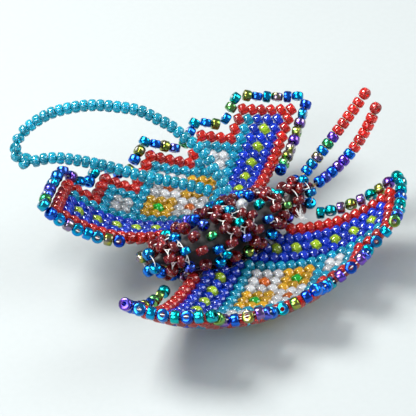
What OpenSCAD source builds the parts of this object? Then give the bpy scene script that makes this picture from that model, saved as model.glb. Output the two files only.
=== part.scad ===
// Beaded butterfly ornament: two woven wings, a stuffed body covered by a bead net, a head
// with two wired antennae, and a hanging loop. +X points to the head, +Y to the left wing
// and +Z up. The origin is on the resting surface, below the middle of the whole piece.

/* [Beads] */
// Outside diameter of a seed bead
bead_d = 2.06; // [1.9:0.01:2.06]
// Length of a seed bead along its hole
bead_len = 1.38; // [1.3:0.01:1.4]
// Diameter of the hole through a bead
hole_d = 0.8; // [0.7:0.05:0.9]
// Diameter of the nylon sewing thread
thread_d = 0.3; // [0.2:0.05:0.35]

/* [Wings] */
// Spacing of neighbouring beads along a woven row, across the span
row_pitch = 2.1; // [2.1:0.01:2.2]
// Spacing of the woven rows from tail to head
row_step = 1.5; // [1.5:0.01:1.6]
// Slope of a wing where it leaves the body
root_angle = -34; // [-36:1:-30]
// Curl of a wing across its span, in degrees per millimetre
wing_curl = 4.6; // [4:0.1:4.8]
// Rise of the front tip above the middle of the wing, on the right wing and on the left wing
front_lift = [8, 6.4]; // [6:0.1:9]
// Rise of the rear tip above the middle of the wing, on the right wing and on the left wing
rear_lift = [9.5, 10]; // [8:0.1:11]
// Lean of that rise towards the body on the right wing and on the left wing
lean = [30, 18]; // [10:1:35]
// Height of the right seam and of the left seam
seam_z = [4.8, 7.9]; // [4:0.1:9]
// Distance of both seams from the middle of the body
seam_y = 4.1; // [4:0.1:4.4]
// Distance from the outermost woven beads to the edging beads
edging_gap = 0.55; // [0.5:0.01:0.6]

/* [Body] */
// Greatest radius of the bead net, measured to the middle of its beads
thorax_r = 5.4; // [5.3:0.1:5.6]
// Spacing of the rings of the net
net_pitch = 2.72; // [2.7:0.01:2.8]
// Least spacing of the beads in a ring
net_step = 2.33; // [2.33:0.01:2.5]
// Length of the beads in the net
net_bead_len = 1.25; // [1.2:0.01:1.3]
// Distance from the wings' middle back to the first ring of the tail
tail_reach = 16; // [15:0.5:17]
// Rings from the tail to the front of the head
ring_count = 13; // [13:1:13]
// Rise of the tail above the thorax, per half wing length
tail_lift = 8; // [6:0.5:9]
// Rise of the head above the thorax, per half wing length
head_lift = 3; // [2:0.5:4]

/* [Antennae] */
// Spacing of the beads on an antenna
antenna_pitch = 1.46; // [1.42:0.01:1.6]
// Diameter of the antenna wire
wire_d = 0.5; // [0.4:0.05:0.6]
// Number of dark beads, and then of red beads, on an antenna
antenna_count = [6, 5]; // [3:1:6]
// Upward angle of the right antenna at its root and at its tip
right_rise = [4, 62]; // [0:1:70]
// Upward angle of the left antenna at its root and at its tip
left_rise = [36, 42]; // [20:1:60]

/* [Hanging loop] */
// Diameter of the cord inside the loop
cord_d = 0.6; // [0.5:0.05:0.65]
// Length of the beads on the loop
loop_bead_len = 1.23; // [1.2:0.01:1.26]
// Spacing of the beads along the loop
loop_pitch = 1.39; // [1.36:0.01:1.45]

/* [Hidden] */

RIGHT = 0;
LEFT = 1;
half_wing = 27;                     // from a wing's middle to its front or rear tip
middle = [-2, 0];                 // the wings' middle, seen from the origin
thorax_z = thorax_r + bead_d / 2;   // height of the thorax axis
bead_r = bead_d / 2;
joining = 1.80;                     // least distance between beads threaded crosswise
deg = 180 / PI;

function unit(v) = v / norm(v);
function flatten(lists) = [for (l = lists) for (item = l) item];
function side_sign(side) = side == RIGHT ? -1 : 1;

// ---- seed beads -------------------------------------------------------------

// A woven bead with its hole along Z: a short tube with slightly rounded shoulders
module woven_shape() {
    shoulder = 0.18;
    rotate_extrude($fn = 32)
        intersection() {
            translate([hole_d / 2, -bead_len / 2]) square([bead_r - hole_d / 2, bead_len]);
            circle(r = norm([bead_r, bead_len / 2]) - shoulder, $fn = 64);
        }
}

// A loose bead with its hole along Z: a ring with a fully rounded outside
module round_shape(len = bead_len) {
    rotate_extrude($fn = 32)
        intersection() {
            translate([hole_d / 2, -len / 2]) square([bead_r, len]);
            translate([bead_r - len / 2, 0]) circle(d = len, $fn = 48);
        }
}

// Children standing at a place, with their Z axis along a direction
module along(place, axis) {
    translate(place)
        rotate([0, acos(axis.z / norm(axis)), atan2(axis.y, axis.x)])
            children();
}

// A bead at each [place, hole direction] pair
module woven_row(list) {
    for (b = list) along(b[0], b[1]) woven_shape();
}
module beads(list, len = bead_len) {
    for (b = list) along(b[0], b[1]) round_shape(len);
}

// A closed solid through rings of points, all with the same number of points
module skin(rings) {
    last = len(rings) - 1;
    sides = len(rings[0]);
    walls = [
        for (i = [0:last - 1], k = [0:sides - 1])
            let (n = (k + 1) % sides)
            [i * sides + k, i * sides + n, (i + 1) * sides + n, (i + 1) * sides + k]
    ];
    ends = [
        [for (k = [sides - 1:-1:0]) k],
        [for (k = [0:sides - 1]) last * sides + k]
    ];
    polyhedron(flatten(rings), concat(walls, ends), convexity = 6);
}

// A round tube with the given number of sides, swept along a list of points
module swept(points, d, sides) {
    last = len(points) - 1;
    skin([
        for (i = [0:last])
            let (
                t = unit(points[min(i + 1, last)] - points[max(i - 1, 0)]),
                across = unit(cross(t, [0, 0, 1])),
                over = cross(across, t)
            )
            [for (k = [0:sides - 1])
                let (turn = 360 * k / sides)
                points[i] + d / 2 * (cos(turn) * across + sin(turn) * over)]
    ]);
}

// ---- wings ------------------------------------------------------------------
// A woven bead has two whole-number addresses: a counts the slanting rows towards the
// front tip and b those towards the rear tip, so swapping them mirrors the wing fore and aft.

FIRST = -6;                         // address of the front and rear margins
ROOT = -5;                          // a + b of the row sewn to the body

// The outline steps inwards three beads at a time towards the scalloped outer margin
function limit(inner) = inner < 0 ? 12 : inner < 3 ? 9 : 6;
function woven(a, b) = a >= FIRST && b >= FIRST && a + b >= ROOT && max(a, b) <= limit(min(a, b));

function on_margin(a, b) = a == FIRST || b == FIRST
    || !woven(a + 1, b) || !woven(a, b + 1) || !woven(a + 1, b + 1);

// Flowers fill a block of six by six beads, in squares of three
function in_flowers(a, b) = min(a, b) >= -1 && max(a, b) <= 4;
function flower_heart(a, b) = a % 3 == 0 && b % 3 == 0;
function pale_flower(a, b) = (floor((a + 1) / 3) + floor((b + 1) / 3)) % 2 == 0;
function in_sparkle(a, b) = min(a, b) >= -1 && min(a, b) <= 0 && max(a, b) >= 6 && max(a, b) <= 7;

function wing_colour(a, b) =
    on_margin(a, b) ? "red" :
    min(a, b) == -4 ? (max(a, b) % 2 == 0 ? "lime" : "blue") :
    min(a, b) == -5 || min(a, b) == -3 ? "blue" :
    in_flowers(a, b) ? (
        pale_flower(a, b) ? (flower_heart(a, b) ? "orange" : "clear")
                          : (flower_heart(a, b) ? "green" : "gold")) :
    in_sparkle(a, b) ? "clear" : "turquoise";

// Place on a flat wing: x from tail to head, y outwards from the seam
function flat(a, b) = [row_step * (a - b), row_pitch / 2 * (a + b + 6)];

// Radius of the curve from the middle of the wing to its front or rear tip
function rise_r(x, front, rear) = half_wing * half_wing / 2 / (x > 0 ? front : rear);

// The same place on the curved wing
function wing_place(side, p) =
    let (
        r = rise_r(p.x, front_lift[side], rear_lift[side]),
        rise = r * (1 - cos(deg * p.x / r)),
        bend = root_angle + wing_curl * p.y,
        y = deg / wing_curl * (sin(bend) - sin(root_angle)),
        z = deg / wing_curl * (cos(root_angle) - cos(bend))
    )
    [
        middle.x + r * sin(deg * p.x / r),
        middle.y + side_sign(side) * (seam_y + y - rise * sin(lean[side])),
        seam_z[side] + z + rise * cos(lean[side])
    ];

// Direction of a woven row at that place, outwards
function wing_out(side, p) =
    let (bend = root_angle + wing_curl * p.y)
    [0, side_sign(side) * cos(bend), sin(bend)];

// Direction along the wing from tail to head, square to the row
function wing_fore(side, p) =
    let (
        step = wing_place(side, [p.x + 0.1, p.y]) - wing_place(side, [p.x - 0.1, p.y]),
        out = wing_out(side, p)
    )
    unit(step - (step * out) * out);

function woven_bead(side, a, b) =
    let (p = flat(a, b)) [wing_place(side, p), wing_fore(side, p)];

module woven_beads(side, colour) {
    woven_row([
        for (a = [FIRST:12], b = [FIRST:12])
            if (woven(a, b) && wing_colour(a, b) == colour) woven_bead(side, a, b)
    ]);
}

// The edging runs round the wing from its front root to its rear root, one address outside
// the weave, in straight stretches between these corners
FRONT_EDGE = [[4, -7], [13, -7], [13, 0], [10, 0], [10, 3], [7, 3], [7, 7]];
EDGE = concat(FRONT_EDGE, [for (i = [len(FRONT_EDGE) - 2:-1:0]) [FRONT_EDGE[i].y, FRONT_EDGE[i].x]]);

// Outward direction, on the flat wing, of the stretch that starts at corner i
function stretch_out(i) =
    let (
        n = max(0, min(i, len(EDGE) - 2)),
        step = unit(flat(EDGE[n + 1].x, EDGE[n + 1].y) - flat(EDGE[n].x, EDGE[n].y))
    )
    [step.y, -step.x];

// Corner i of the edging on the flat wing, moved out by the edging gap
function edge_corner(i) =
    let (before = stretch_out(i - 1), after = stretch_out(i))
    flat(EDGE[i].x, EDGE[i].y) + edging_gap * (before + after) / (1 + before * after);

// Beads are taken one after another along the edging. Every other one has its hole along
// the edge, and the ones between have it outwards.
turn_zone = 2;
function edging_from(side, i, t, list) =
    i > len(EDGE) - 2 ? list :
    t > 1 ? edging_from(side, i + 1, 0, list) :
    let (
        start = edge_corner(i),
        p = start + t * (edge_corner(i + 1) - start),
        out = stretch_out(i),
        fore = wing_fore(side, p),
        across = wing_out(side, p),
        place = wing_place(side, p),
        axis = len(list) % 2 == 0
            ? out.x * across - out.y * fore : out.x * fore + out.y * across,
        turned = len(list) > 0 && i > 0 && i < len(EDGE) - 2
            && min(t, 1 - t) * norm(edge_corner(i + 1) - start) < turn_zone,
        room = turned ? 2.14 : 1.78
    )
    edging_from(side, i, t + 0.1 / norm(edge_corner(i + 1) - start),
        len(list) == 0 || norm(place - list[len(list) - 1][0]) >= room
            ? concat(list, [[place, axis]]) : list);

module edging_beads(side) {
    beads(edging_from(side, 0, 0, []));
}

// The thread through the row of beads next to the body
module seam_thread(side) {
    seam_half = 11.5;
    swept([for (x = [-seam_half:1:seam_half]) wing_place(side, [x, row_pitch / 2])], thread_d, 6);
}

module wing_red(side) { color("red") woven_beads(side, "red"); }
module wing_blue(side) { color("blue") woven_beads(side, "blue"); }
module wing_lime(side) { color("greenyellow") woven_beads(side, "lime"); }
module wing_turquoise(side) { color("darkturquoise") woven_beads(side, "turquoise"); }
module wing_clear(side) { color("white") woven_beads(side, "clear"); }
module wing_gold(side) { color("gold") woven_beads(side, "gold"); }
module wing_green(side) { color("limegreen") woven_beads(side, "green"); }
module wing_orange(side) { color("orangered") woven_beads(side, "orange"); }
module wing_edging(side) { color("midnightblue") edging_beads(side); }
module wing_seam(side) { color("ivory") seam_thread(side); }

// ---- body and head ----------------------------------------------------------

// Radius of the bead net at a distance x from the wings' middle
front_reach = 13;
head_x = 15;
head_r = 2.6;
least_r = 1.75;
function bulge(t) = t >= 1 ? 0 : pow(1 - t * t, 0.75);
function net_r(x) =
    let (
        body = thorax_r * bulge(abs(x - 1) / (x < 1 ? tail_reach + 2.2 : front_reach)),
        head = head_r * sqrt(max(0, 1 - pow((x - head_x) / 4, 2)))
    )
    max(body, head, least_r);

// Middle of the body at x, which rises towards the tail and the head
function axis_at(x) =
    let (r = rise_r(x, head_lift, tail_lift))
    [middle.x + x, middle.y, thorax_z + r * (1 - cos(deg * x / r))];

function net_place(x, angle) = axis_at(x) + net_r(x) * [0, cos(angle), sin(angle)];

function ring_x(k) = -tail_reach + k * net_pitch;

// Angle at which a wing meets the body, seen from the tail
function seam_angle(side, x) =
    let (p = wing_place(side, [x, row_pitch / 2]) - axis_at(x)) atan2(p.z, p.y);

// The net's beads keep this far from the middle of a wing's beads
ring_room = 2.3;
link_room = 2.4;
function beside_wing(x) = x > -12.5 && x < 10.5;
function wing_distance(place, x) = min([
    for (side = [RIGHT, LEFT], row = [1:3]) norm(place - wing_place(side, [x, row * row_pitch / 2]))
]);

// Angles of the beads of a ring, evenly spread over the free stretches between the wings:
// the back from the left wing to the right one, and the belly from there on
function ring_angles(x) =
    beside_wing(x)
        ? let (left = seam_angle(LEFT, x), right = 360 + seam_angle(RIGHT, x))
          concat(stretch_angles(x, left, right), stretch_angles(x, right, left + 360))
        : let (around = floor(2 * PI * net_r(x) / net_step))
          [for (i = [0:around - 1]) 90 + 360 * i / around];

function stretch_angles(x, from, to) =
    let (
        free = [for (angle = [ceil(from):2:to])
            if (wing_distance(net_place(x, angle), x) > ring_room) angle],
        first = free[0],
        span = free[len(free) - 1] - first,
        gaps = floor(span / deg * net_r(x) / net_step)
    )
    [for (i = [0:gaps]) first + span * i / gaps];

function ring_beads(k) = [
    for (angle = ring_angles(ring_x(k)))
        [net_place(ring_x(k), angle), [0, -sin(angle), cos(angle)]]
];

function clear_of(place, list, room) =
    len([for (b = list) if (norm(b[0] - place) < room) 1]) == 0;

// Beads between rings k and k + 1 with their holes along the body. They are taken one
// after another around the body wherever both rings and the wings leave room, first in
// the middle of the gaps of ring k and then in what is left.
function link_beads(k, ring, next) =
    let (
        x = (ring_x(k) + ring_x(k + 1)) / 2,
        angles = ring_angles(ring_x(k)),
        last = len(angles) - 1,
        gaps = [for (i = [0:last]) (angles[i] + (i < last ? angles[i + 1] : angles[0] + 360)) / 2]
    )
    link_from(k, x, concat(ring, next), concat(gaps, [for (turn = [0:359]) turn]), 0, []);

function link_from(k, x, rings, angles, i, taken) =
    i >= len(angles) ? taken :
    let (
        place = net_place(x, angles[i]),
        axis = net_place(ring_x(k + 1), angles[i]) - net_place(ring_x(k), angles[i]),
        free = clear_of(place, rings, joining)
            && clear_of(place, taken, bead_d + 0.04)
            && (!beside_wing(x) || wing_distance(place, x) > link_room)
    )
    link_from(k, x, rings, angles, i + 1, free ? concat(taken, [[place, axis]]) : taken);

// Every other ring is dark iris, and so is every fifth of the beads between rings
head_ring = 11;
nose_x = 18;
clear_ring = 7;
clear_turn = 2;
function is_clear(k, i) = k == clear_ring && i == clear_turn;
function net_beads(first, last, iris) =
    let (rings = [for (k = [first:last + 1]) k < ring_count ? ring_beads(k) : []])
    [
        for (k = [first:last])
            let (
                ring = rings[k - first],
                links = k < ring_count - 1 ? link_beads(k, ring, rings[k - first + 1]) : []
            )
            concat(
                (k % 2 == 0) == iris
                    ? [for (i = [0:len(ring) - 1]) if (!is_clear(k, i)) ring[i]] : [],
                [for (i = [0:1:len(links) - 1]) if (((i + k) % 5 == 0) == iris) links[i]])
    ];

// Stuffing inside the net
module body_core() {
    inside = 1.4;
    sides = 24;
    color("maroon")
        skin([
            for (k = [0:0.5:ring_count - 1])
                [for (i = [0:sides - 1])
                    let (turn = 360 * i / sides)
                    axis_at(ring_x(k)) + (net_r(ring_x(k)) - inside) * [0, -cos(turn), sin(turn)]]
        ]);
}

module net(list) {
    beads(list, net_bead_len);
}

module body_red_beads() { color("firebrick") net(flatten(net_beads(0, head_ring - 1, false))); }
module body_iris_beads() { color("darkslategray") net(flatten(net_beads(0, head_ring - 1, true))); }
module body_clear_bead() { color("white") net([ring_beads(clear_ring)[clear_turn]]); }
module head_red_beads() {
    color("firebrick") {
        net(flatten(net_beads(head_ring, ring_count - 1, false)));
        net([[axis_at(nose_x), [0, 1, 0]]]);
    }
}
module head_iris_beads() {
    color("darkslategray") net(flatten(net_beads(head_ring, ring_count - 1, true)));
}

// The knot of the sewing thread at the right of the neck, with its frayed end
module thread_tuft() {
    knot = axis_at(12.8) + [0, -3.25, -0.5];
    color("ivory") {
        translate(knot) sphere(d = 0.9, $fn = 24);
        for (spread = [-20:10:20])
            translate(knot) rotate([60 + spread / 2, spread, 0])
                cylinder(h = 2.6, d = 0.22, $fn = 16);
    }
}

// ---- antennae ---------------------------------------------------------------

antenna_root = [17.6, 1.5, 2.9];    // from the thorax axis at the wings' middle
antenna_total = antenna_count[0] + antenna_count[1];

function antenna_rise(side) = side == RIGHT ? right_rise : left_rise;

// Place at a number of bead steps along an antenna
function antenna_place(side, n) =
    n <= 0
        ? [middle.x + antenna_root.x, middle.y + side_sign(side) * antenna_root.y,
           thorax_z + antenna_root.z]
        : let (
              rise = antenna_rise(side),
              angle = rise[0] + (rise[1] - rise[0]) * (n - 0.25) / antenna_total
          )
          antenna_place(side, n - 0.5) + antenna_pitch / 2 * [cos(angle), 0, sin(angle)];

function antenna_axis(side, n) = antenna_place(side, n + 0.5) - antenna_place(side, n - 0.5);

function antenna_run(side, first, last) = [
    for (n = [first:last]) [antenna_place(side, n), antenna_axis(side, n)]
];

module antenna_wire(side) {
    color("goldenrod")
        swept([for (n = [0:0.5:antenna_total + 0.5]) antenna_place(side, n)], wire_d, 8);
}
module antenna_iris(side) {
    color("darkslategray") beads(antenna_run(side, 1, antenna_count[0]));
}
module antenna_red(side) {
    color("red") beads(antenna_run(side, antenna_count[0] + 1, antenna_total));
}

// The last bead sits across the wire and hides the turned-over end
module antenna_tip(side) {
    n = antenna_total + 1;
    beyond = 0.4;
    color("red")
        along(antenna_place(side, n) + beyond * unit(antenna_axis(side, n)), [0, 1, 0])
            round_shape();
}

// ---- hanging loop -----------------------------------------------------------

// Route of the loop from the top of the thorax, out over the left wing and back
LOOP = [
    [-0.5, 1.5, 13.5], [-0.5, 3, 15.5], [-1, 4.5, 17], [-1, 6, 18.5], [-1.5, 8, 20],
    [-2.5, 10, 21], [-3.5, 12.5, 22.5], [-5, 15, 23.5], [-6.5, 17, 24.5], [-9, 19.5, 25],
    [-12.5, 23, 25], [-16, 26, 24], [-18.5, 27.5, 23], [-21, 28.5, 21.5], [-23.5, 28.5, 20],
    [-25, 27, 18.5], [-24, 25, 17.5], [-20, 22.5, 18], [-14, 17.5, 16.5], [-10, 13.5, 15],
    [-6, 8.5, 14.5], [-3.5, 5.5, 14], [-2, 3.5, 13.5]
];

// A point of the smooth curve through the route, at t between points i and i + 1
function curve_point(i, t) =
    let (
        last = len(LOOP) - 1,
        p0 = LOOP[max(i - 1, 0)], p1 = LOOP[i], p2 = LOOP[i + 1], p3 = LOOP[min(i + 2, last)]
    )
    0.5 * (2 * p1 + (p2 - p0) * t + (2 * p0 - 5 * p1 + 4 * p2 - p3) * t * t
        + (3 * p1 - p0 - 3 * p2 + p3) * t * t * t);

STEPS = 3;
loop_curve = [
    for (i = [0:len(LOOP) - 2], s = [0:STEPS - 1]) curve_point(i, s / STEPS),
    LOOP[len(LOOP) - 1]
];

// Distance run along the curve at each of its points
function run_lengths(i = 0, total = 0) =
    i == len(loop_curve) - 1 ? [total] :
    concat([total], run_lengths(i + 1, total + norm(loop_curve[i + 1] - loop_curve[i])));
loop_run = run_lengths();
loop_length = loop_run[len(loop_run) - 1];

// Place at a distance along the curve
function loop_place(s, i = 0) =
    i >= len(loop_curve) - 2 || loop_run[i + 1] > s
        ? loop_curve[i] + (loop_curve[i + 1] - loop_curve[i])
            * (s - loop_run[i]) / (loop_run[i + 1] - loop_run[i])
        : loop_place(s, i + 1);

module loop_cord() { color("teal") swept(loop_curve, cord_d, 8); }

module loop_beads() {
    count = floor((loop_length - 0.4) / loop_pitch);
    start = (loop_length - (count - 1) * loop_pitch) / 2;
    color("deepskyblue")
        beads([
            for (n = [0:count - 1])
                let (s = start + n * loop_pitch)
                [loop_place(s), loop_place(s + 0.5) - loop_place(s - 0.5)]
        ], loop_bead_len);
}

body_core();
body_red_beads();
body_iris_beads();
body_clear_bead();
head_red_beads();
head_iris_beads();
thread_tuft();
wing_red(RIGHT);  // right_wing_red_beads
wing_blue(RIGHT);  // right_wing_blue_beads
wing_lime(RIGHT);  // right_wing_lime_beads
wing_turquoise(RIGHT);  // right_wing_turquoise_beads
wing_clear(RIGHT);  // right_wing_clear_beads
wing_gold(RIGHT);  // right_wing_gold_beads
wing_green(RIGHT);  // right_wing_green_beads
wing_orange(RIGHT);  // right_wing_orange_beads
wing_edging(RIGHT);  // right_wing_edging_beads
wing_seam(RIGHT);  // right_wing_seam_thread
wing_red(LEFT);  // left_wing_red_beads
wing_blue(LEFT);  // left_wing_blue_beads
wing_lime(LEFT);  // left_wing_lime_beads
wing_turquoise(LEFT);  // left_wing_turquoise_beads
wing_clear(LEFT);  // left_wing_clear_beads
wing_gold(LEFT);  // left_wing_gold_beads
wing_green(LEFT);  // left_wing_green_beads
wing_orange(LEFT);  // left_wing_orange_beads
wing_edging(LEFT);  // left_wing_edging_beads
wing_seam(LEFT);  // left_wing_seam_thread
antenna_wire(RIGHT);  // right_antenna_wire
antenna_iris(RIGHT);  // right_antenna_iris_beads
antenna_red(RIGHT);  // right_antenna_red_beads
antenna_tip(RIGHT);  // right_antenna_tip_bead
antenna_wire(LEFT);  // left_antenna_wire
antenna_iris(LEFT);  // left_antenna_iris_beads
antenna_red(LEFT);  // left_antenna_red_beads
antenna_tip(LEFT);  // left_antenna_tip_bead
loop_cord();
loop_beads();
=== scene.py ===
"""Looks of a butterfly ornament of glass seed beads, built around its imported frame.

The wings are woven panels of silver-lined beads with a beaded edge, the body is a net of
dark beads over stuffing, the antennae are beaded wires, and a loop of beads hangs it up.
"""

import math
import random

import bpy
import numpy as np
from bpy.props import FloatProperty, FloatVectorProperty, IntProperty, PointerProperty
from mathutils import Matrix, Vector


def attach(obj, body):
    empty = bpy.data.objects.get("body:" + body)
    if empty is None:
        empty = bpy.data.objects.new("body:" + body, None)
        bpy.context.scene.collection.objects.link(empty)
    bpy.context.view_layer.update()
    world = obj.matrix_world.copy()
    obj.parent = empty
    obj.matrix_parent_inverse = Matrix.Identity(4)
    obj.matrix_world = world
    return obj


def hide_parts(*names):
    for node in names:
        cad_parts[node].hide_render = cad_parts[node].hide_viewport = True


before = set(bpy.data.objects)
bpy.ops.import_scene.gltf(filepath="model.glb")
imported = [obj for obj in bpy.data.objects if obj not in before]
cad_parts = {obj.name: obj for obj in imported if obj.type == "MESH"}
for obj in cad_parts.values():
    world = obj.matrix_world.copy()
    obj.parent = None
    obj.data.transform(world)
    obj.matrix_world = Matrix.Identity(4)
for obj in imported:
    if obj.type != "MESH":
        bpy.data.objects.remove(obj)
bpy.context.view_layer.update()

bl_info = {
    "name": "Beaded Butterfly",
    "version": (1, 0, 0),
    "blender": (4, 5, 0),
    "location": "3D View > Sidebar > Butterfly",
    "description": "Builds a butterfly ornament of glass seed beads around its frame",
    "category": "Object",
}

MM = 0.001
SIDES = ("right", "left")
WELD = 0.001 * MM           # vertices of a CAD mesh closer than this are one
TUCK = 0.4 * MM             # how far a thread runs on inside a bead's hole

# Route of the hanging loop's cord, from the back of the body and back to it, in metres
LOOP_ROUTE = [
    (-0.0005, 0.0015, 0.0135), (-0.0005, 0.003, 0.0155), (-0.001, 0.0045, 0.017),
    (-0.001, 0.006, 0.0185), (-0.0015, 0.008, 0.02), (-0.0025, 0.01, 0.021),
    (-0.0035, 0.0125, 0.0225), (-0.005, 0.015, 0.0235), (-0.0065, 0.017, 0.0245),
    (-0.009, 0.0195, 0.025), (-0.0125, 0.023, 0.025), (-0.016, 0.026, 0.024),
    (-0.0185, 0.0275, 0.023), (-0.021, 0.0285, 0.0215), (-0.0235, 0.0285, 0.02),
    (-0.025, 0.027, 0.0185), (-0.024, 0.025, 0.0175), (-0.02, 0.0225, 0.018),
    (-0.014, 0.0175, 0.0165), (-0.01, 0.0135, 0.015), (-0.006, 0.0085, 0.0145),
    (-0.0035, 0.0055, 0.014), (-0.002, 0.0035, 0.0135),
]

# Hues of the metallic coat on the dark beads, from bead to bead
IRIS_HUES = [
    (0.01, 0.06, 0.45), (0.01, 0.16, 0.75), (0.0, 0.3, 0.55), (0.0, 0.42, 0.36),
    (0.02, 0.14, 0.6), (0.16, 0.05, 0.5), (0.3, 0.3, 0.03), (0.02, 0.38, 0.14),
]


# ---- settings ---------------------------------------------------------------


def length(name, description, default):
    return FloatProperty(name=name, description=description, default=default, unit="LENGTH")


def colour(name, description, default):
    return FloatVectorProperty(
        name=name, description=description, default=default,
        size=3, min=0, max=1, subtype="COLOR",
    )


class BeadSettings(bpy.types.PropertyGroup):
    """Sizes of the seed beads"""

    diameter: length("Bead diameter", "Outside diameter of a seed bead", 2.06 * MM)
    long: length("Bead length", "Length of a woven bead along its hole", 1.38 * MM)
    net_long: length("Net bead length", "Length of a bead in the body's net", 1.28 * MM)
    loop_long: length("Loop bead length", "Length of a bead on the hanging loop", 1.32 * MM)
    hole: length("Hole diameter", "Diameter of the hole through a bead", 0.8 * MM)
    sides: IntProperty(name="Sides", description="Faces around a bead", default=14, min=8)


class ColourSettings(bpy.types.PropertyGroup):
    """Colours of the glass and of the thread"""

    red: colour("Red", "Margins of the wings and antenna tips", (0.86, 0.03, 0.015))
    blue: colour("Blue", "Bands of the wings", (0.008, 0.07, 0.86))
    lime: colour("Lime", "Dots in the blue bands", (0.6, 0.85, 0.03))
    turquoise: colour("Turquoise", "Inner band of the wings", (0.01, 0.52, 0.78))
    clear: colour("Clear", "White flowers", (0.95, 0.96, 0.97))
    gold: colour("Gold", "Golden flowers", (0.95, 0.55, 0.02))
    green: colour("Green", "Hearts of the golden flowers", (0.01, 0.62, 0.05))
    orange: colour("Orange", "Hearts of the white flowers", (0.88, 0.2, 0.015))
    ruby: colour("Ruby", "Body and head", (0.4, 0.012, 0.01))
    cyan: colour("Cyan", "Hanging loop", (0.01, 0.55, 0.76))
    thread: colour("Thread", "Nylon sewing thread", (0.93, 0.93, 0.9))


class ThreadSettings(bpy.types.PropertyGroup):
    """Sizes of the threads"""

    sewing: length("Sewing thread", "Diameter of the nylon thread", 0.17 * MM)
    cord: length("Loop cord", "Diameter of the cord inside the loop", 0.6 * MM)


class StageSettings(bpy.types.PropertyGroup):
    """Camera and floor"""

    azimuth: FloatProperty(
        name="Azimuth", description="Direction of the view", default=math.radians(-38.6),
        subtype="ANGLE",
    )
    elevation: FloatProperty(
        name="Elevation", description="Height of the view", default=math.radians(39.9),
        subtype="ANGLE",
    )
    roll: FloatProperty(
        name="Roll", description="Turn of the camera about its view", default=math.radians(-0.6),
        subtype="ANGLE",
    )
    distance: length("Distance", "From the camera to the body", 272 * MM)
    lens: FloatProperty(name="Lens", description="Focal length in millimetres", default=141.2)
    floor: colour("Floor", "Pale floor", (0.36, 0.385, 0.385))


def settings(name):
    return getattr(bpy.context.scene, "butterfly_" + name)


# ---- modelling helpers ------------------------------------------------------


def deselect():
    if bpy.context.object and bpy.context.object.mode != "OBJECT":
        bpy.ops.object.mode_set(mode="OBJECT")
    bpy.ops.object.select_all(action="DESELECT")


def activate(obj):
    deselect()
    obj.select_set(True)
    bpy.context.view_layer.objects.active = obj


def pick(obj, faces=None, edges=None):
    """Select the faces or edges for which a test on the mesh element holds, in edit mode"""
    activate(obj)
    bpy.ops.object.mode_set(mode="EDIT")
    bpy.ops.mesh.select_mode(type="FACE" if faces else "EDGE")
    bpy.ops.mesh.select_all(action="DESELECT")
    bpy.ops.object.mode_set(mode="OBJECT")
    group, test = (obj.data.polygons, faces) if faces else (obj.data.edges, edges)
    for element in group:
        element.select = test(element)
    bpy.ops.object.mode_set(mode="EDIT")


def join(objects, name):
    deselect()
    for o in objects:
        o.select_set(True)
    bpy.context.view_layer.objects.active = objects[0]
    if len(objects) > 1:
        bpy.ops.object.join()
    joined = bpy.context.object
    joined.name = joined.data.name = name
    bpy.ops.object.transform_apply(location=True, rotation=True, scale=True)
    return joined


def dress(obj, *materials):
    obj.data.materials.clear()
    for m in materials:
        obj.data.materials.append(m)


def radius_of(co):
    return math.hypot(co.x, co.y)


# ---- beads ------------------------------------------------------------------


def seed_bead(name, long, rounding):
    """One bead at the origin with its hole along Z. Its hole's wall has the second material."""
    beads = settings("beads")
    r, hole = beads.diameter / 2, beads.hole / 2
    deselect()
    bpy.ops.mesh.primitive_cylinder_add(vertices=beads.sides, radius=r, depth=long)
    bead = bpy.context.object
    bead.name = name
    pick(bead, faces=lambda f: abs(f.normal.z) > 0.9)
    bpy.ops.mesh.inset(thickness=r - hole)
    bpy.ops.mesh.delete(type="FACE")
    ends = lambda e: all(radius_of(bead.data.vertices[v].co) < 1.01 * hole for v in e.vertices)
    pick(bead, edges=ends)
    bpy.ops.mesh.bridge_edge_loops()
    rims = lambda e: (
        all(radius_of(bead.data.vertices[v].co) > 0.9 * r for v in e.vertices)
        and abs(sum(bead.data.vertices[v].co.z for v in e.vertices)) > 0.5 * long
    )
    pick(bead, edges=rims)
    bpy.ops.mesh.bevel(offset=rounding, segments=2, profile=0.5, affect="EDGES")
    pick(bead, faces=lambda f: True)
    bpy.ops.mesh.normals_make_consistent(inside=False)
    bpy.ops.object.mode_set(mode="OBJECT")
    for f in bead.data.polygons:
        f.material_index = int(radius_of(f.center) < 1.05 * hole)
    bpy.ops.object.shade_smooth_by_angle(angle=math.radians(60))
    place = bead.data.attributes.new("bead_place", "FLOAT_VECTOR", "POINT")
    for v in bead.data.vertices:
        place.data[v.index].vector = (v.co.x / r, v.co.y / r, v.co.z / (long / 2))
    return bead


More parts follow.
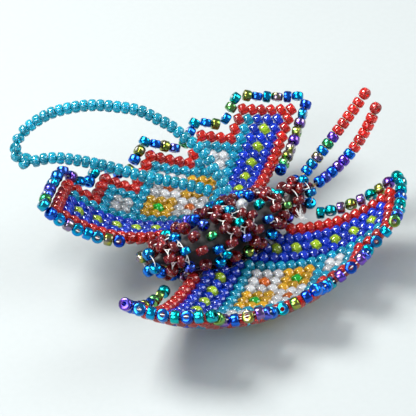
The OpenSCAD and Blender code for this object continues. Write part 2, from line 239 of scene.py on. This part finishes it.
def shells(node):
    """Vertices and volume of each closed shell of a CAD node"""
    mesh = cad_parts[node].data.copy()
    copy = bpy.data.objects.new(node + "_copy", mesh)
    bpy.context.collection.objects.link(copy)
    activate(copy)
    bpy.ops.object.mode_set(mode="EDIT")
    bpy.ops.mesh.select_all(action="SELECT")
    bpy.ops.mesh.remove_doubles(threshold=WELD)
    bpy.ops.object.mode_set(mode="OBJECT")
    co = np.zeros(len(mesh.vertices) * 3)
    mesh.vertices.foreach_get("co", co)
    co = co.reshape(-1, 3)
    ends = np.zeros(len(mesh.edges) * 2, int)
    mesh.edges.foreach_get("vertices", ends)
    ends = ends.reshape(-1, 2)
    label = np.arange(len(co))
    while True:
        low = np.minimum(label[ends[:, 0]], label[ends[:, 1]])
        new = label.copy()
        np.minimum.at(new, ends[:, 0], low)
        np.minimum.at(new, ends[:, 1], low)
        new = new[new]
        if (new == label).all():
            break
        label = new
    mesh.calc_loop_triangles()
    corners = np.zeros(len(mesh.loop_triangles) * 3, int)
    mesh.loop_triangles.foreach_get("vertices", corners)
    a, b, c = (co[corners.reshape(-1, 3)[:, i]] for i in range(3))
    volume = np.abs(np.bincount(label[corners[::3]], (a * np.cross(b, c)).sum(1) / 6, len(co)))
    bpy.data.objects.remove(copy)
    return [(co[label == k], volume[k]) for k in np.unique(label)]


def share_out(points, count):
    """Split a row of touching beads into its beads"""
    middle = points.mean(0)
    along = np.linalg.svd(points - middle, full_matrices=False)[2][0]
    run = (points - middle) @ along
    centres = middle + np.outer(np.quantile(run, (np.arange(count) + 0.5) / count), along)
    for _ in range(12):
        near = np.argmin(((points[:, None] - centres[None]) ** 2).sum(2), axis=1)
        centres = np.array([points[near == k].mean(0) for k in range(count)])
    return [points[near == k] for k in range(count)]


def bead_places(node):
    """Middle and hole direction of each bead of a CAD node"""
    beads = settings("beads")
    found = shells(node)
    usual = float(np.median([volume for _, volume in found]))
    rim = 1.06 * math.hypot(beads.hole / 2, beads.long / 2)
    places = []
    for shell, volume in found:
        count = max(1, round(volume / usual))
        for points in share_out(shell, count) if count > 1 else [shell]:
            middle = (points.min(0) + points.max(0)) / 2 if count == 1 else points.mean(0)
            near = points[np.linalg.norm(points - middle, axis=1) < rim]
            axis = np.linalg.svd(near - middle, full_matrices=False)[2][0]
            places.append((Vector(middle), Vector(axis).normalized()))
    return places


def string_beads(name, node, model, materials, body, chance):
    """Copies of a bead at every bead of a CAD node, joined into one piece"""
    copies = []
    places = bead_places(node)
    for middle, axis in places:
        bead = model.copy()
        bead.data = model.data.copy()
        bpy.context.collection.objects.link(bead)
        turn = Matrix.Rotation(chance.uniform(0, 2 * math.pi), 4, "Z")
        bead.matrix_world = (
            Matrix.Translation(middle) @ axis.to_track_quat("Z", "Y").to_matrix().to_4x4() @ turn
        )
        tint = bead.data.attributes.new("bead_tint", "FLOAT", "POINT")
        tint.data.foreach_set("value", [chance.random()] * len(bead.data.vertices))
        copies.append(bead)
    piece = join(copies, name)
    dress(piece, *materials)
    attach(piece, body)
    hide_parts(node)
    return piece, places


# ---- materials --------------------------------------------------------------


def shader_group(name, inputs, outputs):
    group = bpy.data.node_groups.new(name, "ShaderNodeTree")
    for label, kind, default in inputs:
        socket = group.interface.new_socket(label, in_out="INPUT", socket_type=kind)
        socket.default_value = default
    for label, kind in outputs:
        group.interface.new_socket(label, in_out="OUTPUT", socket_type=kind)
    return group, group.nodes.new("NodeGroupInput"), group.nodes.new("NodeGroupOutput")


def maths(tree, operation, a, b=0.0):
    node = tree.nodes.new("ShaderNodeMath")
    node.operation = operation
    for socket, value in zip(node.inputs, (a, b)):
        if isinstance(value, (int, float)):
            socket.default_value = value
        else:
            tree.links.new(value, socket)
    return node.outputs[0]


def mixed(tree, factor, a, b, blend="MIX"):
    node = tree.nodes.new("ShaderNodeMix")
    node.data_type = "RGBA"
    node.blend_type = blend
    for socket, value in zip((node.inputs[0], node.inputs[6], node.inputs[7]), (factor, a, b)):
        if isinstance(value, (int, float)):
            socket.default_value = value
        elif isinstance(value, tuple):
            socket.default_value = (*value, 1)
        else:
            tree.links.new(value, socket)
    return node.outputs[2]


def attribute(tree, name, output):
    node = tree.nodes.new("ShaderNodeAttribute")
    node.attribute_name = name
    return node.outputs[output]


def noise(tree, scale, detail=3.0):
    place = tree.nodes.new("ShaderNodeTexCoord")
    node = tree.nodes.new("ShaderNodeTexNoise")
    node.inputs["Scale"].default_value = scale
    node.inputs["Detail"].default_value = detail
    tree.links.new(place.outputs["Object"], node.inputs["Vector"])
    return node.outputs["Fac"]


def glass_colour_group():
    """Colour of a glass bead, with its own tint, paler streaks and painted shade at its ends"""
    group, entry, leave = shader_group(
        "Glass Bead Colour",
        [("Colour", "NodeSocketColor", (1, 1, 1, 1)), ("Variation", "NodeSocketFloat", 0.3),
         ("End Shade", "NodeSocketFloat", 0.3)],
        [("Colour", "NodeSocketColor"), ("Roughness", "NodeSocketFloat")],
    )
    tint = attribute(group, "bead_tint", "Fac")
    depth = maths(group, "MULTIPLY", tint, entry.outputs["Variation"])
    dark = mixed(group, depth, entry.outputs["Colour"], (0.02, 0.02, 0.03), "MIX")
    split = group.nodes.new("ShaderNodeSeparateXYZ")
    group.links.new(attribute(group, "bead_place", "Vector"), split.inputs[0])
    # Painted shade: the colour is darkened towards both ends of each bead, where the round glass
    # falls into shade
    end = maths(group, "POWER", maths(group, "ABSOLUTE", split.outputs["Z"]), 4.0)
    shade = maths(group, "MULTIPLY", end, entry.outputs["End Shade"])
    group.links.new(mixed(group, shade, dark, (0.0, 0.0, 0.0)), leave.inputs["Colour"])
    streak = noise(group, 1400.0)
    group.links.new(maths(group, "MULTIPLY", streak, 0.08), leave.inputs["Roughness"])
    return group


def grouped(tree, group, **values):
    node = tree.nodes.new("ShaderNodeGroup")
    node.node_tree = group
    for label, value in values.items():
        node.inputs[label.replace("_", " ")].default_value = value
    return node


def shader(name, **constants):
    """A new material and its Principled BSDF with constant values on its own sockets"""
    material = bpy.data.materials.new(name)
    material.use_nodes = True
    surface = material.node_tree.nodes["Principled BSDF"]
    for label, value in constants.items():
        surface.inputs[label.replace("_", " ")].default_value = value
    return material, material.node_tree, surface


def glass(name, rgb, variation=0.35, painted_end_shade=0.3):
    """Silver-lined glass: a coloured shell, and the bright lining of its hole"""
    group = bpy.data.node_groups.get("Glass Bead Colour") or glass_colour_group()
    shell, tree, surface = shader(
        name + " glass", Transmission_Weight=0.72, IOR=1.5, Coat_Weight=0.3, Coat_Roughness=0.04,
    )
    # The shell gets painted shade at its ends; the lining below gets none
    look = grouped(tree, group, Colour=(*rgb, 1), Variation=variation, End_Shade=painted_end_shade)
    tree.links.new(look.outputs["Colour"], surface.inputs["Base Color"])
    tree.links.new(look.outputs["Roughness"], surface.inputs["Roughness"])
    lining, tree, surface = shader(name + " lining", Metallic=0.7, Roughness=0.28)
    look = grouped(tree, group, Colour=(*(0.12 + 0.88 * c for c in rgb), 1),
                   Variation=0.1, End_Shade=0.0)
    tree.links.new(look.outputs["Colour"], surface.inputs["Base Color"])
    return shell, lining


def iris(name):
    """Opaque dark glass with a metallic coat whose hue changes from bead to bead"""
    material, tree, surface = shader(
        name, Roughness=0.2, Metallic=1.0, Coat_Weight=0.15, Coat_Roughness=0.05,
    )
    ramp = tree.nodes.new("ShaderNodeValToRGB")
    ramp.color_ramp.interpolation = "LINEAR"
    stops = ramp.color_ramp.elements
    for place in (0.15, 0.32, 0.46, 0.6, 0.74, 0.88):
        stops.new(place)
    for stop, rgb in zip(stops, IRIS_HUES):
        stop.color = (*rgb, 1)
    wander = maths(tree, "MULTIPLY_ADD", noise(tree, 700.0), 0.3)
    wander.node.inputs[2].default_value = -0.15
    tree.links.new(
        maths(tree, "ADD", attribute(tree, "bead_tint", "Fac"), wander), ramp.inputs["Fac"]
    )
    tree.links.new(ramp.outputs["Color"], surface.inputs["Base Color"])
    return (material, material)


def fibre(name, rgb, scale=9000.0, strength=0.3):
    """Twisted nylon or wadding with a fine bump"""
    material, tree, surface = shader(name, Roughness=0.55, Sheen_Weight=0.3)
    shade = mixed(tree, noise(tree, scale), tuple(0.72 * c for c in rgb), rgb)
    tree.links.new(shade, surface.inputs["Base Color"])
    bump = tree.nodes.new("ShaderNodeBump")
    bump.inputs["Strength"].default_value = strength
    bump.inputs["Distance"].default_value = 0.05 * MM
    tree.links.new(noise(tree, scale), bump.inputs["Height"])
    tree.links.new(bump.outputs["Normal"], surface.inputs["Normal"])
    return material


def brass(name):
    material, tree, surface = shader(name, Metallic=1.0)
    shade = mixed(tree, noise(tree, 2500.0), (0.62, 0.42, 0.14), (0.85, 0.66, 0.3))
    tree.links.new(shade, surface.inputs["Base Color"])
    rough = maths(tree, "MULTIPLY_ADD", noise(tree, 4000.0), 0.2)
    rough.node.inputs[2].default_value = 0.18
    tree.links.new(rough, surface.inputs["Roughness"])
    return material


# ---- threads ----------------------------------------------------------------


def thread_piece(name, runs, diameter, material, body):
    """Smooth round threads, each through its own points, as one mesh piece"""
    data = bpy.data.curves.new(name, "CURVE")
    data.dimensions = "3D"
    data.bevel_depth = diameter / 2
    data.bevel_resolution = 1
    data.resolution_u = 3
    data.use_fill_caps = True
    for run in runs:
        spline = data.splines.new("NURBS")
        spline.points.add(len(run) - 1)
        for point, place in zip(spline.points, run):
            point.co = (*place, 1)
        spline.order_u = min(4, len(run))
        spline.use_endpoint_u = True
    obj = bpy.data.objects.new(name, data)
    bpy.context.collection.objects.link(obj)
    activate(obj)
    bpy.ops.object.convert(target="MESH")
    obj = bpy.context.object
    bpy.ops.object.shade_smooth()
    dress(obj, material)
    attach(obj, body)
    return obj


def crossing_threads(places, long, reach):
    """Thread runs between the holes of neighbouring beads that lie crosswise"""
    ends = [
        (i, middle + side * axis * long / 2, side * axis)
        for i, (middle, axis) in enumerate(places) for side in (-1, 1)
    ]
    runs = []
    for n, (i, a, out_a) in enumerate(ends):
        for j, b, out_b in ends[n + 1:]:
            if i == j or (a - b).length > reach or abs(out_a.dot(out_b)) > 0.75:
                continue
            lift = 0.22 * (a - b).length
            runs.append([a - TUCK * out_a, a, a + lift * out_a, b + lift * out_b, b,
                         b - TUCK * out_b])
    return runs


def outline(node):
    """Vertices of a CAD node"""
    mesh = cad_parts[node].data
    co = np.zeros(len(mesh.vertices) * 3)
    mesh.vertices.foreach_get("co", co)
    return co.reshape(-1, 3)


def wadding(name, node, grain, depth, material, body):
    """A lumpy, fuzzy mass of wadding in the place of a CAD node"""
    lump = bpy.data.objects.new(name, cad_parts[node].data.copy())
    bpy.context.collection.objects.link(lump)
    activate(lump)
    remesh = lump.modifiers.new("grain", "REMESH")
    remesh.mode = "VOXEL"
    remesh.voxel_size = grain
    clouds = bpy.data.textures.new(name + " lumps", "CLOUDS")
    clouds.noise_scale = 4 * grain
    push = lump.modifiers.new("lumps", "DISPLACE")
    push.texture = clouds
    push.texture_coords = "LOCAL"
    push.strength = depth
    push.mid_level = 1.0
    for modifier in ("grain", "lumps"):
        bpy.ops.object.modifier_apply(modifier=modifier)
    bpy.ops.object.shade_smooth()
    dress(lump, material)
    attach(lump, body)
    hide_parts(node)
    return lump


def frayed(name, node, hairs, diameter, material, body, chance):
    """Loose fine hairs in the place of a CAD node, from its lower end outwards"""
    points = outline(node)
    low, high = points.min(0) + diameter, points.max(0) - diameter
    root = (low + high) / 2
    root[2] = low[2]
    runs = []
    for _ in range(hairs):
        tip = np.array([chance.uniform(a, b) for a, b in zip(low, high)])
        bend = [np.array([chance.uniform(-1, 1) * (b - a) / 5 for a, b in zip(low, high)])
                for _ in range(2)]
        steps = (root, root + (tip - root) / 3 + bend[0], root + (tip - root) / 1.5 + bend[1], tip)
        runs.append([tuple(np.clip(step, low, high)) for step in steps])
    obj = thread_piece(name, runs, diameter, material, body)
    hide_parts(node)
    return obj


def plied(name, node, stations, diameter, pitch, material, body):
    """Two twisted strands along a CAD node that runs lengthwise"""
    points = outline(node)
    run = points[:, 0]
    ends = np.linspace(run.min(), run.max(), stations + 1)
    slices = [points[(run >= a) & (run <= b)] for a, b in zip(ends, ends[1:])]
    route = [part.mean(0) for part in slices if len(part)]
    strands = []
    for start in (0, math.pi):
        strand = []
        for a, b in zip(route, route[1:]):
            for part in (0, 0.25, 0.5, 0.75):
                place = a + part * (b - a)
                turn = start + 2 * math.pi * place[0] / pitch
                strand.append((place[0], place[1] + diameter / 3 * math.cos(turn),
                               place[2] + diameter / 3 * math.sin(turn)))
        strands.append(strand)
    obj = thread_piece(name, strands, diameter * 0.6, material, body)
    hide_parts(node)
    return obj


# ---- operators --------------------------------------------------------------


class BUTTERFLY_OT_camera(bpy.types.Operator):
    """Place the camera in front of the left of the body, looking down"""

    bl_idname = "butterfly.camera"
    bl_label = "Camera"

    def execute(self, context):
        stage = settings("stage")
        a, e = stage.azimuth, stage.elevation
        forward = Vector((-math.sin(a) * math.cos(e), math.cos(a) * math.cos(e), -math.sin(e)))
        right = Vector((math.cos(a), math.sin(a), 0))
        up = right.cross(forward)
        middle = Vector((-2 * MM, 0, 5.8 * MM))
        place = middle - stage.distance * forward
        aim = middle - 3.07 * MM * right + 5.15 * MM * up
        camera = bpy.data.objects.new("camera", bpy.data.cameras.new("camera"))
        context.collection.objects.link(camera)
        camera.data.lens = stage.lens
        camera.data.sensor_width = 36
        camera.data.clip_start = 0.01
        turn = (aim - place).to_track_quat("-Z", "Y").to_matrix().to_4x4()
        camera.matrix_world = (
            Matrix.Translation(place) @ turn @ Matrix.Rotation(stage.roll, 4, "Z")
        )
        context.scene.camera = camera
        context.scene.view_settings.view_transform = "Standard"
        return {"FINISHED"}


class BUTTERFLY_OT_stage(bpy.types.Operator):
    """Add the pale floor and the soft studio lights"""

    bl_idname = "butterfly.stage"
    bl_label = "Floor and lights"

    def execute(self, context):
        stage = settings("stage")
        deselect()
        bpy.ops.mesh.primitive_plane_add(size=1.6)
        floor = context.object
        floor.name = "floor"
        material, tree, surface = shader("floor paper", Roughness=0.85)
        shade = mixed(tree, noise(tree, 900.0, 6.0),
                      tuple(0.94 * c for c in stage.floor), tuple(stage.floor))
        tree.links.new(shade, surface.inputs["Base Color"])
        dress(floor, material)
        self.light(context, "key", (-0.12, 0.22, 0.42), 0.22, 4.6, (1.0, 0.99, 0.97))
        self.light(context, "fill", (0.36, -0.22, 0.3), 0.3, 1.6, (0.93, 0.97, 1.0))
        self.light(context, "rim", (-0.38, -0.1, 0.3), 0.25, 1.4, (0.95, 0.98, 1.0))
        world = bpy.data.worlds.new("studio")
        context.scene.world = world
        world.use_nodes = True
        sky = world.node_tree.nodes["Background"]
        sky.inputs["Color"].default_value = (0.86, 0.93, 1.0, 1)
        sky.inputs["Strength"].default_value = 0.35
        return {"FINISHED"}

    @staticmethod
    def light(context, name, place, size, power, rgb):
        lamp = bpy.data.lights.new(name, "AREA")
        lamp.size = size
        lamp.energy = power
        lamp.color = rgb
        obj = bpy.data.objects.new(name, lamp)
        context.collection.objects.link(obj)
        obj.location = place
        obj.rotation_euler = (-Vector(place)).to_track_quat("-Z", "Y").to_euler()


class BUTTERFLY_OT_loop(bpy.types.Operator):
    """Make the hanging loop: a cord and the beads strung on it"""

    bl_idname = "butterfly.loop"
    bl_label = "Hanging loop"

    def execute(self, context):
        colours, threads, beads = settings("colours"), settings("threads"), settings("beads")
        chance = random.Random(5)
        model = seed_bead("loop_bead_model", beads.loop_long, 0.42 * MM)
        strung, _ = string_beads("hanging_loop_beads", "loop_beads", model,
                                 glass("cyan", colours.cyan, 0.3, 0.2), "body",
                                 chance)
        bpy.data.objects.remove(model)
        data = bpy.data.curves.new("hanging_loop_cord", "CURVE")
        data.dimensions = "3D"
        data.bevel_depth = threads.cord / 2
        data.bevel_resolution = 2
        data.resolution_u = 6
        data.use_fill_caps = True
        spline = data.splines.new("BEZIER")
        spline.bezier_points.add(len(LOOP_ROUTE) - 1)
        for point, place in zip(spline.bezier_points, LOOP_ROUTE):
            point.co = place
            point.handle_left_type = point.handle_right_type = "AUTO"
        cord = bpy.data.objects.new("hanging_loop_cord", data)
        context.collection.objects.link(cord)
        data.materials.append(fibre("loop cord", (0.05, 0.4, 0.5)))
        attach(cord, "body")
        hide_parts("loop_cord")
        return {"FINISHED"}


class BUTTERFLY_OT_wings(bpy.types.Operator):
    """String the woven beads and the edging of both wings"""

    bl_idname = "butterfly.wings"
    bl_label = "Wings"

    def execute(self, context):
        colours, beads, threads = settings("colours"), settings("beads"), settings("threads")
        chance = random.Random(11)
        model = seed_bead("woven_bead_model", beads.long, 0.28 * MM)
        looks = {
            name: glass(name, getattr(colours, name))
            for name in ("red", "blue", "lime", "turquoise", "clear", "gold", "green", "orange")
        }
        dark = iris("edging iris")
        nylon = fibre("wing thread", tuple(colours.thread))
        seam = fibre("seam thread", (0.04, 0.05, 0.1))
        for side in SIDES:
            for name, look in looks.items():
                string_beads(f"{side}_wing_{name}", f"{side}_wing_{name}_beads", model, look,
                             f"{side}_wing", chance)
            _, places = string_beads(f"{side}_wing_edging", f"{side}_wing_edging_beads", model,
                                     dark, f"{side}_wing", chance)
            thread_piece(f"{side}_edging_thread",
                         crossing_threads(places, beads.long, 1.6 * MM),
                         threads.sewing, nylon, f"{side}_wing")
            plied(f"{side}_wing_seam", f"{side}_wing_seam_thread", 40, 2 * threads.sewing,
                  1.2 * MM, seam, f"{side}_wing")
        bpy.data.objects.remove(model)
        return {"FINISHED"}


class BUTTERFLY_OT_body(bpy.types.Operator):
    """String the net of the body and the head, with its threads and the stuffing"""

    bl_idname = "butterfly.body"
    bl_label = "Body and head"

    def execute(self, context):
        colours, beads, threads = settings("colours"), settings("beads"), settings("threads")
        chance = random.Random(23)
        model = seed_bead("body_bead_model", beads.net_long, 0.34 * MM)
        ruby = glass("ruby", colours.ruby, 0.5, 0.4)
        dark = iris("body iris")
        clear = glass("body clear", colours.clear, 0.05, 0.1)
        places = []
        for node, look, slot in (
            ("body_red_beads", ruby, "ruby_beads"), ("body_iris_beads", dark, "dark_iris_beads"),
            ("body_clear_bead", clear, "clear_beads"), ("head_red_beads", ruby, "ruby_beads"),
            ("head_iris_beads", dark, "dark_iris_beads"),
        ):
            name = node.replace("_beads", "").replace("_bead", "") + "_net"
            places += string_beads(name, node, model, look, "body", chance)[1]
        bpy.data.objects.remove(model)
        thread_piece("net_thread", crossing_threads(places, beads.net_long, 1.7 * MM),
                     threads.sewing, fibre("net thread", tuple(colours.thread)), "body")
        # The stuffing is a real part of the body, but its near-black colour is painted shade, so
        # the gaps of the net look shaded
        wadding("body_wadding", "body_core", 0.3 * MM, 0.25 * MM,
                fibre("stuffing", (0.006, 0.003, 0.003), 2500.0, 0.9), "body")
        frayed("frayed_tuft", "thread_tuft", 26, 0.09 * MM,
               fibre("tuft thread", tuple(colours.thread)), "body", chance)
        return {"FINISHED"}


class BUTTERFLY_OT_antennae(bpy.types.Operator):
    """String the beads of both antennae on their wires"""

    bl_idname = "butterfly.antennae"
    bl_label = "Antennae"

    def execute(self, context):
        colours, beads = settings("colours"), settings("beads")
        chance = random.Random(31)
        model = seed_bead("antenna_bead_model", beads.long, 0.34 * MM)
        dark = iris("antenna iris")
        red = glass("antenna red", colours.red)
        wire = brass("antenna brass")
        for side in SIDES:
            for part, node, look, slot in (
                ("iris", "iris_beads", dark, "dark_iris_beads"),
                ("red", "red_beads", red, "red_beads"), ("tip", "tip_bead", red, "red_beads"),
            ):
                string_beads(f"{side}_antenna_{part}", f"{side}_antenna_{node}", model, look,
                             f"{side}_antenna", chance)
            dress(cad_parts[f"{side}_antenna_wire"], wire)
        bpy.data.objects.remove(model)
        return {"FINISHED"}


OPERATORS = (
    BUTTERFLY_OT_camera,
    BUTTERFLY_OT_loop,
    BUTTERFLY_OT_wings,
    BUTTERFLY_OT_body,
    BUTTERFLY_OT_antennae,
    BUTTERFLY_OT_stage,
)


class BUTTERFLY_PT_panel(bpy.types.Panel):
    """Lists the steps that build the ornament"""

    bl_idname = "BUTTERFLY_PT_panel"
    bl_label = "Beaded butterfly"
    bl_space_type = "VIEW_3D"
    bl_region_type = "UI"
    bl_category = "Butterfly"

    def draw(self, context):
        for name, group in GROUPS.items():
            box = self.layout.box()
            for prop in group.__annotations__:
                box.prop(settings(name), prop)
        for operator in OPERATORS:
            self.layout.operator(operator.bl_idname)


GROUPS = {
    "beads": BeadSettings,
    "colours": ColourSettings,
    "threads": ThreadSettings,
    "stage": StageSettings,
}
CLASSES = (*GROUPS.values(), *OPERATORS, BUTTERFLY_PT_panel)


def register():
    for c in CLASSES:
        bpy.utils.register_class(c)
    for name, group in GROUPS.items():
        setattr(bpy.types.Scene, "butterfly_" + name, PointerProperty(type=group))


def unregister():
    for name in GROUPS:
        delattr(bpy.types.Scene, "butterfly_" + name)
    for c in reversed(CLASSES):
        bpy.utils.unregister_class(c)


def main():
    register()
    bpy.ops.butterfly.camera()
    bpy.ops.butterfly.loop()
    bpy.ops.butterfly.wings()
    bpy.ops.butterfly.body()
    bpy.ops.butterfly.antennae()
    bpy.ops.butterfly.stage()


if __name__ == "__main__":
    main()
